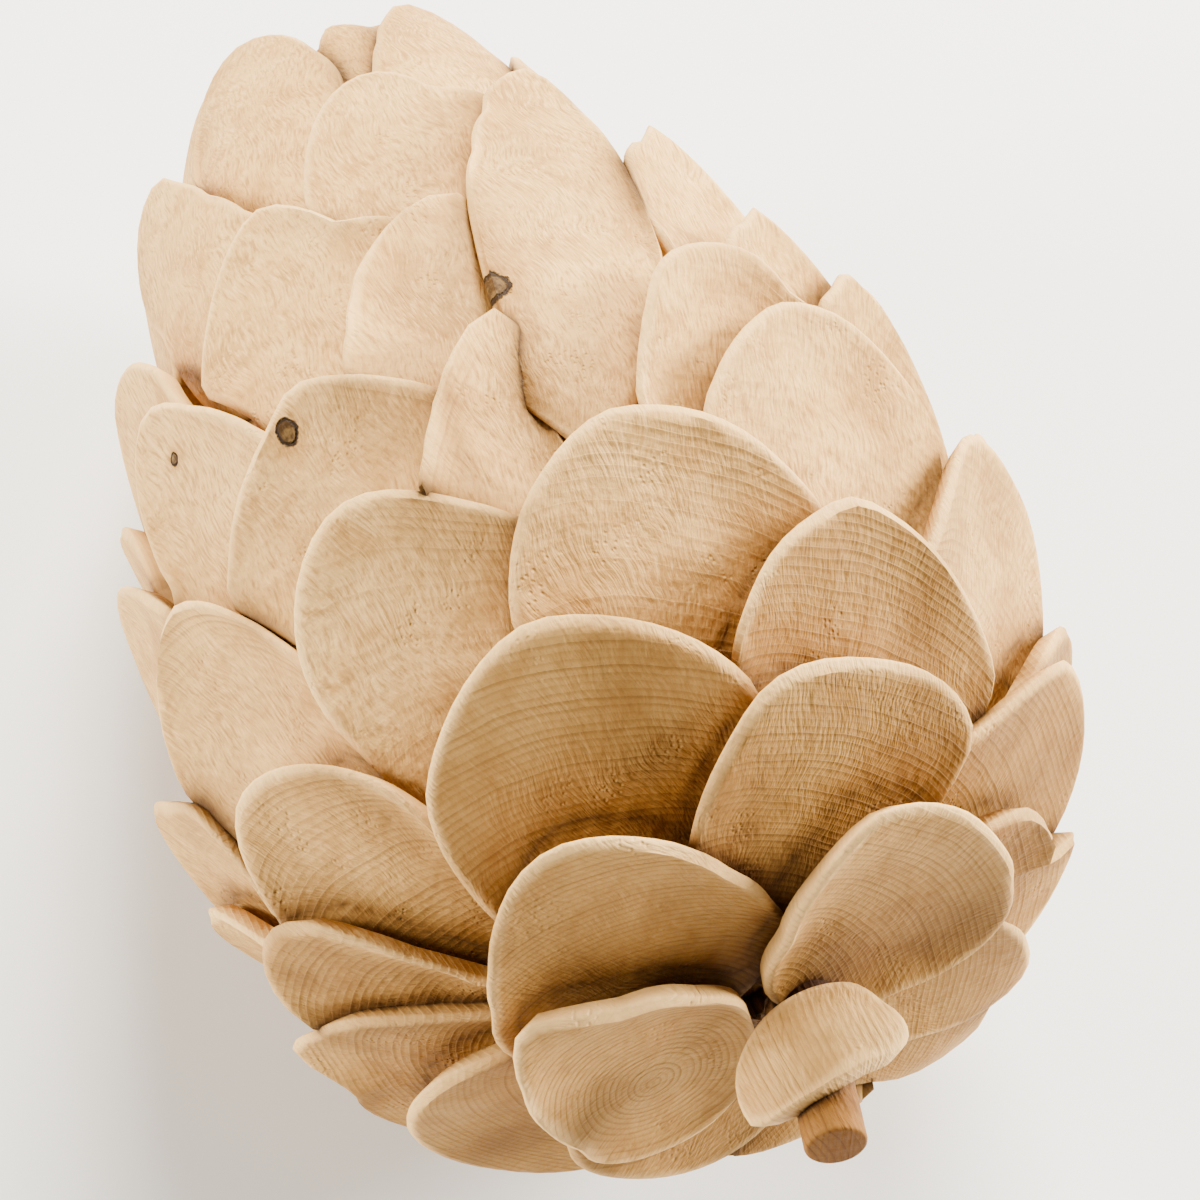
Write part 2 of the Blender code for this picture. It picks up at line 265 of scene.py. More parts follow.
# Outlines of scales as the photo shows them, in its pixels, from one foot over the free end to
# the other
PHOTO_SIZE = 1200
SEEN_OUTLINES = {
    "collar_0": (
        (700, 1000), (620, 1012), (560, 1022), (517, 1030), (512, 1055), (522, 1095), (545, 1135),
        (580, 1153), (640, 1162),
    ),
    "collar_1": (
        (492, 1018), (487, 975), (490, 935), (505, 893), (530, 862), (560, 845), (600, 838), (645, 840),
        (690, 850), (735, 873), (775, 905), (790, 925), (783, 950),
    ),
    "collar_2": (
        (765, 985), (785, 945), (800, 910), (825, 875), (850, 845), (880, 815), (915, 804), (950, 806),
        (985, 822), (1008, 848), (1016, 885), (1006, 925), (980, 952), (940, 977), (900, 993),
    ),
    "collar_3": ((1007, 925), (1022, 930), (1032, 948), (1032, 965), (1018, 987)),
    "collar_4": ((985, 1020), (992, 1030), (975, 1042)),
    "scale_-11": (
        (370, 1058), (325, 1038), (285, 1012), (265, 985), (258, 955), (262, 935), (280, 924), (305, 923),
        (340, 935), (400, 957), (487, 982),
    ),
    "scale_-6": (
        (350, 1090), (290, 1055), (293, 1042), (308, 1037),
    ),
    "scale_-3": (
        (277, 922), (255, 890), (240, 862), (231, 830), (231, 808), (243, 786), (265, 771), (300, 764),
        (335, 767), (370, 778), (405, 800), (440, 830), (470, 858), (500, 888),
    ),
    "scale_-8": (
        (422, 800), (428, 765), (440, 728), (457, 692), (477, 662), (500, 637), (522, 621), (550, 614),
        (590, 613), (630, 617), (670, 627), (705, 642), (735, 662), (757, 683),
    ),
    "scale_-13": (
        (690, 845), (697, 815), (710, 780), (728, 745), (745, 715), (762, 690), (785, 672), (815, 660),
        (850, 656), (890, 659), (925, 668), (950, 683), (968, 703), (979, 735), (968, 765), (940, 803),
    ),
    "scale_-10": (
        (985, 728), (1005, 710), (1030, 688), (1055, 667), (1068, 657), (1081, 673), (1087, 710), (1083, 760),
        (1065, 815), (1037, 860), (1012, 895),
    ),
    "scale_-15": ((1035, 880), (1053, 842), (1065, 822), (1079, 823)),
    "scale_10": (
        (182, 795), (165, 750), (156, 705), (155, 660), (162, 620), (172, 602), (195, 600), (230, 612),
        (270, 635), (300, 660), (330, 697), (360, 738), (390, 775), (415, 800),
    ),
    "scale_5": (
        (292, 640), (291, 605), (296, 572), (305, 545), (318, 520), (335, 503), (352, 493), (380, 487),
        (420, 489), (460, 497), (513, 512),
    ),
    "scale_0": (
        (508, 620), (507, 590), (508, 560), (513, 530), (522, 500), (540, 470), (562, 440), (585, 418),
        (608, 404), (640, 401), (680, 403), (715, 412), (750, 430), (780, 455), (805, 480), (822, 500),
    ),
    "scale_-5": (
        (735, 640), (745, 610), (757, 580), (772, 552), (792, 529), (815, 512), (838, 497), (852, 491),
        (870, 497), (900, 515), (930, 540), (955, 570), (975, 605), (990, 640), (1000, 680),
    ),
    "scale_3": ((938, 526), (951, 482), (960, 450), (970, 430), (994, 445), (1013, 476), (1029, 514)),
    "scale_18": (
        (223, 605), (226, 560), (231, 515), (243, 475), (258, 440), (272, 410), (284, 385), (300, 377),
        (340, 372), (385, 374), (432, 383),
    ),
    "scale_31": (
        (170, 590), (148, 545), (136, 500), (132, 455), (138, 415), (150, 403), (185, 404), (220, 410),
        (252, 425),
    ),
    "scale_13": (
        (417, 490), (421, 455), (430, 415), (442, 380), (457, 345), (475, 315), (495, 297), (515, 312),
    ),
    "scale_8": (
        (704, 402), (716, 373), (733, 340), (754, 316), (773, 301), (792, 297), (816, 302), (845, 314),
        (875, 340), (905, 375), (930, 410),
    ),
    "scale_39": (
        (198, 395), (199, 360), (205, 320), (213, 285), (225, 250), (240, 222), (252, 206), (268, 201),
        (300, 205), (335, 220),
    ),
    "scale_26": (
        (341, 370), (344, 330), (350, 290), (362, 258), (378, 235), (400, 210), (425, 193), (450, 187),
        (475, 192),
    ),
    "scale_21": (
        (636, 400), (637, 370), (641, 330), (648, 295), (655, 265), (668, 248), (690, 240), (715, 238),
        (740, 243), (762, 254), (790, 290),
    ),
    "scale_37": ((624, 156), (632, 138), (641, 122), (652, 140)),
    "scale_29": ((727, 236), (737, 220), (745, 206), (753, 220)),
    "scale_16": ((820, 300), (835, 284), (850, 271), (860, 282)),
    "scale_63": ((318, 47), (322, 30), (345, 26), (370, 28)),
    "scale_55": ((372, 62), (377, 38), (386, 15), (396, 3), (410, 1)),
    "scale_52": ((157, 174), (175, 182), (205, 193), (240, 208)),
    "scale_44": ((121, 370), (130, 361), (155, 367), (165, 385), (178, 403)),
    "scale_23": ((114, 592), (125, 587), (150, 598), (168, 612)),
    "scale_2": ((150, 812), (165, 806), (185, 806), (235, 860), (275, 920)),
    "scale_60": (
        (192, 185), (192, 150), (196, 120), (205, 90), (218, 65), (238, 43), (262, 33), (285, 32), (312, 46),
    ),
    "scale_47": (
        (303, 205), (302, 170), (307, 135), (318, 108), (335, 86), (360, 71), (395, 69), (430, 85),
    ),
    "scale_42": (
        (530, 440), (518, 390), (503, 340), (487, 290), (474, 235), (466, 190), (472, 148), (484, 108),
        (498, 78), (512, 68), (530, 64), (548, 78), (580, 108), (612, 142), (630, 170), (648, 210),
        (662, 248), (655, 300), (648, 350), (645, 400), (635, 430),
    ),
    "roof": (
        (742, 1118), (750, 1130), (770, 1120), (800, 1101), (835, 1079), (870, 1060), (900, 1049),
        (911, 1036), (905, 1016), (885, 1002),
    ),
}

# The photo's view in the upright cone's frame
LENS = 85
ELEVATION = math.radians(45)
HEADING = math.radians(19.6)
DISTANCE = 509 * MM
AIM = Vector((0, 122.4, 0)) * MM
AIM_IN_PHOTO = (526, 537)
SENSOR = 36
LOOK = Vector((
    math.sin(HEADING) * math.cos(ELEVATION),
    math.cos(HEADING) * math.cos(ELEVATION),
    -math.sin(ELEVATION),
))
EYE = AIM - LOOK * DISTANCE
EYE_TURN = LOOK.to_track_quat("-Z", "Y").to_matrix()

# The studio: its lamps by direction from the cone, distance, width, power and colour, the soft
# light all round, and the floor
LAMPS = {
    "key": ((0.3, 0.7, 0.75), 1.6, 0.7, 100, (1.0, 0.955, 0.86)),
    "right": ((1.0, -0.15, 0.45), 1.8, 0.7, 112, (1.0, 0.965, 0.89)),
    "left": ((-1.0, 0.15, 0.3), 1.8, 0.7, 72, (1.0, 0.965, 0.89)),
}
LAMP_AIM = Vector((0, 0, 70 * MM))
SKY_COLOUR = (0.9, 0.98, 1, 1)
SKY_STRENGTH = 0.3
FLOOR_SIZE = 6
FLOOR_COLOUR = (0.9, 0.9, 0.89, 1)

OUTLINE_ANGLES = np.linspace(-math.pi, math.pi, OUTLINE_STEPS, endpoint=False)


# Shape of the cone


def egg_radius(along):
    """Radius of the egg at distances along its axis from the stem end."""
    widest = WIDEST_AT * BODY_LENGTH
    low = 1 - np.clip((widest - along) / widest, 0, 1) ** STEM_END_FULLNESS
    high = 1 - np.clip((along - widest) / (BODY_LENGTH - widest), 0, 1) ** TIP_END_FULLNESS
    return BODY_RADIUS * np.sqrt(np.clip(np.where(along < widest, low, high), 0, 1))


class Meridian:
    """The egg's side line, read by the distance along it from the stem end."""

    def __init__(self, steps=2000):
        turn = np.linspace(0, math.pi, steps)
        self.along = BODY_LENGTH * (1 - np.cos(turn)) / 2
        self.radius = egg_radius(self.along)
        step = np.hypot(np.diff(self.along), np.diff(self.radius))
        self.run = np.concatenate([[0], np.cumsum(step)])
        band = math.pi * (self.radius[1:] + self.radius[:-1]) * step
        self.area = np.concatenate([[0], np.cumsum(band)])

    def run_at_along(self, along):
        """The distance along the side line at a distance along the axis."""
        return float(np.interp(along, self.along, self.run))

    def at(self, run):
        """Distance along the axis, radius, and the outward direction there: axial and radial."""
        span = 3 * MM
        run = np.clip(run, span, self.run[-1] - span)
        before, after = run - span, run + span
        step_along = np.interp(after, self.run, self.along) - np.interp(before, self.run, self.along)
        step_radius = np.interp(after, self.run, self.radius) - np.interp(before, self.run, self.radius)
        length = np.hypot(step_along, step_radius)
        along = np.interp(run, self.run, self.along)
        radius = np.interp(run, self.run, self.radius)
        return along, radius, -step_radius / length, step_along / length


MERIDIAN = Meridian()


def scale_axes(scale):
    """Straight out from the cone's axis at a scale's turn, across to its right, and along the axis."""
    turn = scale["turn"]
    outward = np.array((math.sin(turn), 0, math.cos(turn)))
    across = np.array((math.cos(turn), 0, -math.sin(turn)))
    return outward, across, np.array((0, 1, 0))


def on_body(scale, sideways, back, lift):
    """Points of a scale that lies along the egg."""
    outward, across, axis = scale_axes(scale)
    along, radius, out_axial, out_radial = MERIDIAN.at(scale["run"] - back)
    bend = radius / out_radial
    angle = (sideways / bend)[:, None]
    normal = out_radial[:, None] * outward + out_axial[:, None] * axis
    foot = (along - out_axial * bend)[:, None] * axis
    return foot + (normal * np.cos(angle) + across * np.sin(angle)) * (bend + lift)[:, None]


def off_body(scale, points):
    """Sideways, back and lift of points round a scale: the way back from on_body."""
    outward, across, axis = scale_axes(scale)
    run = np.full(len(points), scale["run"] - scale["free"])
    for _ in range(6):
        along, radius, out_axial, out_radial = MERIDIAN.at(run)
        bend = radius / out_radial
        apart = points - (along - out_axial * bend)[:, None] * axis
        tangent = out_radial[:, None] * axis - out_axial[:, None] * outward
        run = np.clip(run + (apart * tangent).sum(axis=1), 0, MERIDIAN.run[-1])
    normal = out_radial[:, None] * outward + out_axial[:, None] * axis
    up, right = (apart * normal).sum(axis=1), apart @ across
    return np.arctan2(right, up) * bend, scale["run"] - run, np.hypot(up, right) - bend


def on_roof(scale, sideways, back, lift):
    """Points of the small scale over the stem, which bends down to both sides."""
    side = (ROOF_SIDE - ROOF_FORWARD * ROOF_SIDE.dot(ROOF_FORWARD)).normalized()
    out = np.array(side.cross(ROOF_FORWARD))
    angle = (sideways / ROOF_BEND)[:, None]
    reach = (ROOF_BEND + lift)[:, None]
    foot = np.array(ROOF_ROOT) + np.array(ROOF_FORWARD) * (scale["run"] - back)[:, None] - out * ROOF_BEND
    return foot + (np.array(side) * np.sin(angle) + out * np.cos(angle)) * reach


def taper(along):
    """The share of the way from the widest place to the tip."""
    widest = WIDEST_AT * BODY_LENGTH
    return float(np.clip((along - widest) / (BODY_LENGTH - widest), 0, 1))


def scale_row(run, turn, half_width, **own):
    """What one scale is made from, with the common values where it has none of its own."""
    row = {
        "lay": on_body,
        "run": run,
        "turn": turn,
        "half": half_width,
        "free": FREE_LENGTH,
        "root": ROOT_LENGTH,
        "dish": DISH_DEPTH,
        "squareness": BELLY_SQUARENESS,
        "tilt": TILT,
        "roll": 0.0,
        "lift": 0.0,
        "lean": 0.0,
        "rank": run,
    }
    row.update(own)
    row["root"] = max(min(row["root"], run - row["free"] - POLE_MARGIN), SHORTEST_ROOT)
    return row


def spiral_rows():
    """The scales that wind round the egg, each turned by the golden angle from the last."""
    rows = {}
    for n in range(FIRST_SCALE, LAST_SCALE + 1):
        area = AREA_AT_ZERO + n * AREA_PER_SCALE
        if n in LEFT_OUT or area > CARVED_SHARE * MERIDIAN.area[-1]:
            continue
        turn_shift, along_shift = CARVER_SHIFTS.get(n, (0, 0))
        along = float(np.interp(area, MERIDIAN.area, MERIDIAN.along)) + along_shift * MM
        narrowing = taper(along)
        usual = HALF_WIDTH + (TIP_HALF_WIDTH - HALF_WIDTH) * narrowing
        usual_squareness = BELLY_SQUARENESS + (TIP_SQUARENESS - BELLY_SQUARENESS) * narrowing
        rows[f"scale_{n}"] = scale_row(
            MERIDIAN.run_at_along(along),
            FRONT_TURN + n * GOLDEN_TURN + math.radians(turn_shift),
            HALF_WIDTHS[n] * MM if n in HALF_WIDTHS else usual,
            root=ROOT_LENGTHS[n] * MM if n in ROOT_LENGTHS else ROOT_LENGTH,
            dish=DISH_DEPTH * (1 - DISH_FADE * narrowing),
            squareness=SQUARENESSES.get(n, usual_squareness),
            roll=ROLLS.get(n, 0.0),
            lean=LEANS.get(n, 0.0),
            tilt=TILTS.get(n, TILT),
        )
    return rows


def collar_rows():
    """The scales round the stem, and the small one over it."""
    rows = {}
    for k, (turn, reach, half_width, lift) in enumerate(COLLAR):
        rows[f"collar_{k}"] = scale_row(
            reach * MM, math.radians(turn), half_width * MM,
            free=COLLAR_FREE_LENGTH, tilt=COLLAR_TILT, lift=lift * MM, squareness=COLLAR_SQUARENESS,
            rank=COLLAR_FROM_FRONT.index(k) * MM,
        )
    rows["roof"] = scale_row(
        ROOF_REACH, 0, ROOF_HALF_WIDTH,
        lay=on_roof, free=ROOF_FREE_LENGTH, dish=-ROOF_CROWN, tilt=0.0, rank=-1 * MM,
    )
    return rows


# Carving one scale from a ball


def ring_profile():
    """Share of the way out and height for the rings, from the face's middle over the rim to the back."""
    face = 1 - np.linspace(1, 0, FACE_RINGS + 1) ** FACE_CROWDING
    roll = np.linspace(0, math.pi / 2, RIM_RINGS + 1)[1:]
    back = np.linspace(1, 0, BACK_RINGS + 1)
    sloping = np.maximum(1 - back - RIM_THICKNESS / ROOT_DEPTH, 0)
    share = np.concatenate([LIP * face, LIP + (1 - LIP) * np.sin(roll), UNDERCUT * back])
    height = np.concatenate([
        np.zeros(FACE_RINGS + 1),
        RIM_ROUND * (np.cos(roll) - 1),
        -RIM_ROUND - RIM_THICKNESS - (ROOT_DEPTH - RIM_THICKNESS) * sloping,
    ])
    return share, height


def face_height(scale, share, angle):
    """Height of the face over the flat of its scale, at shares of the way out to the rim.

    The hollow follows the rim on the outside and gets rounder towards the middle.
    """
    inside = np.clip(share / LIP, 0, 1)
    length = np.where(np.sin(angle) > 0, scale["free"], scale["root"])
    oval = scale["half"] * length / np.hypot(length * np.cos(angle), scale["half"] * np.sin(angle))
    rounding = (1 - inside ** 2) * (way_out(scale, angle) / oval - 1)
    inside = np.minimum(inside * (1 + rounding), 1)
    return -scale["dish"] * (1 - inside ** (DISH_SHAPE if scale["dish"] > 0 else CROWN_SHAPE))


def flat_lift(scale, sideways, back):
    """Lift of the flat that the rim of a scale lies in."""
    return scale["lift"] - back * scale["tilt"] - sideways * scale["roll"]


def signed_power(value, power):
    return np.sign(value) * np.abs(value) ** power


def usual_outline(scale):
    """The way out from the middle of a scale to its rim, all round, as the rule gives it."""
    steps = np.linspace(-math.pi, math.pi, 4 * OUTLINE_STEPS)
    free_end = np.sin(steps) > 0
    squareness = np.where(free_end, scale["squareness"], ROOT_SQUARENESS)
    length = np.where(free_end, scale["free"], scale["root"])
    forward = length * signed_power(np.sin(steps), 2 / squareness)
    leaning = scale["lean"] * np.maximum(forward, 0)
    sideways = scale["half"] * signed_power(np.cos(steps), 2 / squareness) + leaning
    angle = np.unwrap(np.arctan2(forward, sideways))
    return np.interp(OUTLINE_ANGLES, angle, np.hypot(sideways, forward), period=2 * math.pi)


def in_photo(points):
    """Where the photo's camera sees points of the upright cone, in the photo's pixels."""
    focal = LENS / SENSOR * PHOTO_SIZE
    seen = (points - np.array(EYE)) @ np.array(EYE_TURN)
    return np.array(AIM_IN_PHOTO) + seen[:, :2] / -seen[:, 2:] * (focal, -focal)


def at_pixels(scale, pixels):
    """Sideways and forward places on the flat of a scale that the photo shows at the pixels."""
    pixels = np.array(pixels, dtype=float)

    def seen(places):
        back = scale["free"] - places[:, 1]
        return in_photo(scale["lay"](scale, places[:, 0], back, flat_lift(scale, places[:, 0], back)))

    places = np.tile((0.0, scale["free"]), (len(pixels), 1))
    nudge = 0.1 * MM
    for _ in range(FITTING_ROUNDS):
        here = seen(places)
        by_side = (seen(places + (nudge, 0)) - here) / nudge
        by_forward = (seen(places + (0, nudge)) - here) / nudge
        slopes = np.stack([by_side, by_forward], axis=2)
        step = np.linalg.solve(slopes, (pixels - here)[:, :, None])[:, :, 0]
        places = places + np.clip(step, -FITTING_STRIDE, FITTING_STRIDE)
    return places


def outline(name, scale, draw):
    """The way out to the rim all round a scale: as seen in the photo, or by the rule with a waver."""
    usual = usual_outline(scale)
    if name not in SEEN_OUTLINES:
        return usual * (1 + slow_waves(draw, WAVER_WAVES, WAVER)(OUTLINE_ANGLES))
    places = at_pixels(scale, SEEN_OUTLINES[name])
    angle = np.arctan2(places[:, 1], places[:, 0])
    middle = math.atan2(np.sin(angle).mean(), np.cos(angle).mean())
    angle = (angle - middle + math.pi) % (2 * math.pi) - math.pi
    order = np.argsort(angle)
    usual_there = np.interp(angle + middle, OUTLINE_ANGLES, usual, period=2 * math.pi)
    ratio = np.clip(np.hypot(*places.T) / usual_there, *OUTLINE_SHARES)[order]
    angle = np.concatenate([[angle.min() - OUTLINE_FADE], angle[order], [angle.max() + OUTLINE_FADE]])
    ratio = np.concatenate([[1], ratio, [1]])
    turned = (OUTLINE_ANGLES - middle + math.pi) % (2 * math.pi) - math.pi
    ratio = np.interp(turned, angle, ratio, left=1, right=1)
    window = np.hanning(2 * OUTLINE_SOFTNESS + 3)
    padded = np.concatenate([ratio[-OUTLINE_SOFTNESS - 1:], ratio, ratio[:OUTLINE_SOFTNESS + 1]])
    return usual * np.convolve(padded, window / window.sum(), "valid")


def way_out(scale, angle):
    """The way out from the middle of a scale to its rim, at angles."""
    return np.interp(angle, OUTLINE_ANGLES, scale["outline"], period=2 * math.pi)


def mesh_points(mesh):
    """The places of a mesh's vertices."""
    points = np.empty(len(mesh.vertices) * 3)
    mesh.vertices.foreach_get("co", points)
    return points.reshape(-1, 3)


def corner_points(mesh):
    """The vertex of every face corner."""
    corners = np.empty(len(mesh.loops), dtype=np.int32)
    mesh.loops.foreach_get("vertex_index", corners)
    return corners


def record(mesh, owner, rim, place, behind):
    """Writes on the mesh which piece it belongs to, and how far it is from its own rim, where it
    lies on its face, and how far it is from the rim of a piece in front.
    """
    corners = corner_points(mesh)
    while mesh.uv_layers:
        mesh.uv_layers.remove(mesh.uv_layers[0])
    mesh.attributes.new("owner", "INT", "FACE").data.foreach_set("value", [owner] * len(mesh.polygons))
    mesh.attributes.new("rim", "FLOAT", "CORNER").data.foreach_set("value", rim[corners])
    mesh.attributes.new("behind", "FLOAT", "CORNER").data.foreach_set("value", behind[corners])
    mesh.attributes.new("place", "FLOAT2", "CORNER").data.foreach_set("vector", place[corners].ravel())


def ball(segments, rings):
    """A ball of radius 1, whose points are then moved to make a piece."""
    bpy.ops.mesh.primitive_uv_sphere_add(segments=segments, ring_count=rings, radius=1)
    return bpy.context.object


def slow_waves(draw, count, size):
    """A smooth random function of one angle, made of a few waves."""
    phases = draw.uniform(0, 2 * math.pi, count)
    sizes = draw.normal(0, size, count) / np.arange(2, count + 2) ** 0.5
    waves = list(enumerate(zip(sizes, phases), start=2))
    return lambda angle: sum(height * np.cos(k * angle + phase) for k, (height, phase) in waves)


def scale_points(ball_points, scale, draw):
    """A ball's points moved onto a scale, with their depth, distance from the rim and place on it."""
    last = FACE_RINGS + RIM_RINGS + BACK_RINGS + 1
    ring = np.rint(np.arccos(np.clip(ball_points[:, 2], -1, 1)) / math.pi * last).astype(int)
    angle = np.arctan2(ball_points[:, 1], ball_points[:, 0])
    on_face = ring <= FACE_RINGS
    share, height = (values[ring] for values in ring_profile())
    reach = way_out(scale, angle)
    sideways, forward = share * reach * np.cos(angle), share * reach * np.sin(angle)
    swell = slow_waves(draw, SWELL_WAVES, SWELL)(angle) * share
    height = height + on_face * (face_height(scale, share, angle) + swell)
    back = scale["free"] - forward
    lift = flat_lift(scale, sideways, back) + height
    rim = np.where(ring <= FACE_RINGS + RIM_RINGS, reach * (1 - share), -1 * MM)
    place = np.stack([sideways, forward], axis=1) + draw.uniform(0, 1, 2)
    return scale["lay"](scale, sideways, back, lift), np.maximum(-ring_profile()[1][ring], 0), rim, place


def give_way(points, depths, front):
    """The points, with those inside the outline of a scale in front pressed below its face."""
    sideways, back, lift = off_body(front, points)
    forward = front["free"] - back
    angle = np.arctan2(forward, sideways)
    share = np.hypot(sideways, forward) / way_out(front, angle)
    highest = flat_lift(front, sideways, back) + face_height(front, share, angle) - CLEARANCE - depths
    pressed = (share < UNDERCUT) & (lift > highest)
    moved = points.copy()
    moved[pressed] = on_body(front, sideways[pressed], back[pressed], highest[pressed])
    return moved


def beyond_rim(points, front):
    """How far the points are from the rim of a scale in front, along its flat."""
    sideways, back, lift = off_body(front, points)
    forward = front["free"] - back
    return np.abs(np.hypot(sideways, forward) - way_out(front, np.arctan2(forward, sideways)))


def carve_scales(rows, draw):
    """All the scales, each giving way to those in front of it."""
    blank = ball(ROUND_POINTS, FACE_RINGS + RIM_RINGS + BACK_RINGS + 1)
    ball_points = mesh_points(blank.data)
    made = {}
    for name, scale in rows.items():
        scale["outline"] = outline(name, scale, draw)
        made[name] = scale_points(ball_points, scale, draw)
    objects = []
    for owner, (name, scale) in enumerate(rows.items(), start=FIRST_SCALE_OWNER):
        points, depths, rim, place = made[name]
        behind = np.full(len(points), FAR)
        for other_name, other in rows.items():
            near = np.linalg.norm(points[0] - made[other_name][0][0]) < MEETING_DISTANCE
            merged = (name, other_name) in MERGED
            if near and not merged and other["lay"] is on_body and other["rank"] < scale["rank"]:
                behind = np.minimum(behind, beyond_rim(points, other))
                points = give_way(points, depths, other)
        mesh = blank.data.copy()
        mesh.vertices.foreach_set("co", points.ravel())
        mesh.update()
        record(mesh, owner, rim, place, behind)
        piece = bpy.data.objects.new(name, mesh)
        bpy.context.scene.collection.objects.link(piece)
        objects.append(piece)
    bpy.data.objects.remove(blank)
    return objects


def core():
    """The solid middle, from a ball whose points are moved to a little below the egg."""
    made = ball(CORE_SIDES, CORE_RINGS)
    made.name = made.data.name = "carved_cone"
    points = mesh_points(made.data)
    turn = np.arctan2(points[:, 1], points[:, 0])
    along, radius, out_axial, out_radial = MERIDIAN.at((1 + points[:, 2]) / 2 * MERIDIAN.run[-1])
    radius = np.maximum(radius - out_radial * CORE_DEPTH, 0)
    radius[np.abs(points[:, 2]) > 1 - 1e-5] = 0
    along = along - out_axial * CORE_DEPTH
    moved = np.stack([radius * np.sin(turn), along, radius * np.cos(turn)], axis=1)
    made.data.vertices.foreach_set("co", moved.ravel())
    made.data.update()
    far = np.full(len(points), FAR)
    record(made.data, CORE_OWNER, far, moved[:, :2], far)
    return made


def stem():
    """The cut peg: a cylinder that leans to one side, with a worn edge round its end."""
    length = STEM_OUTSIDE + STEM_ROOT_DEPTH
    inward = (STEM_ROOT_DEPTH - STEM_OUTSIDE) / 2
    middle = (STEM_ASIDE - inward * math.sin(STEM_LEAN), inward * math.cos(STEM_LEAN), 0)
    bpy.ops.mesh.primitive_cylinder_add(
        vertices=STEM_SIDES, radius=STEM_RADIUS, depth=length,
        location=middle, rotation=(math.pi / 2, 0, STEM_LEAN),
    )
    made = bpy.context.object
    made.name = "stem"
    bpy.ops.object.transform_apply(location=True, rotation=True, scale=True)
    bevel = made.modifiers.new("worn end", "BEVEL")
    bevel.width = STEM_WORN_EDGE
    bevel.segments = STEM_EDGE_STEPS
    bpy.ops.object.modifier_apply(modifier="worn end")
    points = mesh_points(made.data)
    mark, far = np.full(len(points), PEG_MARK), np.full(len(points), FAR)
    record(made.data, PEG_OWNER, mark, points[:, :2], far)
    return made


def joined(body, pieces):
    """One solid of the body and all the pieces."""
    group = bpy.data.collections.new("pieces")
    bpy.context.scene.collection.children.link(group)
    for piece in pieces:
        for holder in piece.users_collection:
            holder.objects.unlink(piece)
        group.objects.link(piece)
    union = body.modifiers.new("union", "BOOLEAN")
    union.operation = "UNION"
    union.operand_type = "COLLECTION"
    union.collection = group
    union.solver = "MANIFOLD"
    bpy.ops.object.select_all(action="DESELECT")
    bpy.context.view_layer.objects.active = body
    bpy.ops.object.modifier_apply(modifier="union")
    for piece in pieces:
        bpy.data.objects.remove(piece)
    bpy.data.collections.remove(group)
    return body


def lay_down(body):
    """Droop the tip, put the top where the part's is, and cut the cone flat at the floor."""
    shape = bmesh.new()
    shape.from_mesh(body.data)
    shape.transform(Matrix.Rotation(-DROOP, 4, "X"))
    points = np.array([v.co for v in shape.verts])
    low, high = points.min(axis=0), points.max(axis=0)
    middle = Vector(((low[0] + high[0]) / 2, (low[1] + high[1]) / 2, high[2] - CAD_BOX[1][2]))
    everything = shape.verts[:] + shape.edges[:] + shape.faces[:]
    cut = bmesh.ops.bisect_plane(
        shape, geom=everything, plane_co=(0, 0, middle.z), plane_no=(0, 0, -1), clear_outer=True
    )
    edges = [e for e in cut["geom_cut"] if isinstance(e, bmesh.types.BMEdge)]
    bmesh.ops.holes_fill(shape, edges=edges)
    shape.transform(Matrix.Translation(-middle))
    shape.to_mesh(body.data)
    shape.free()
    return middle


# What the wood's colour needs to know of the shape


def crease_places(mesh):
    """Points close together along the creases where two pieces meet."""
    owner = np.empty(len(mesh.polygons), dtype=np.int32)
    mesh.attributes["owner"].data.foreach_get("value", owner)
    sizes = np.empty(len(mesh.polygons), dtype=np.int32)
    mesh.polygons.foreach_get("loop_total", sizes)
    owner_of_corner = np.repeat(owner, sizes)
    edge_of_corner = np.empty(len(mesh.loops), dtype=np.int32)
    mesh.loops.foreach_get("edge_index", edge_of_corner)
    lowest = np.full(len(mesh.edges), 10**6)
    highest = np.full(len(mesh.edges), -1)
    np.minimum.at(lowest, edge_of_corner, owner_of_corner)
    np.maximum.at(highest, edge_of_corner, owner_of_corner)
    ends = np.empty(len(mesh.edges) * 2, dtype=np.int32)
    mesh.edges.foreach_get("vertices", ends)
    ends = ends.reshape(-1, 2)[lowest != highest]
    points = mesh_points(mesh)
    first, last = points[ends[:, 0]], points[ends[:, 1]]
    places = []
    for a, b in zip(first, last):
        count = 1 + int(np.linalg.norm(b - a) / CREASE_STEP)
        places.extend(a + (b - a) * (k / count) for k in range(count + 1))
    return places


def write_crease(mesh):
    """Writes the distance from the nearest crease on every point of the mesh."""
    places = crease_places(mesh)
    tree = KDTree(len(places))
    for k, place in enumerate(places):
        tree.insert(place, k)
    tree.balance()
    distances = [tree.find(v.co)[2] for v in mesh.vertices]
    mesh.attributes.new("crease", "FLOAT", "POINT").data.foreach_set("value", distances)


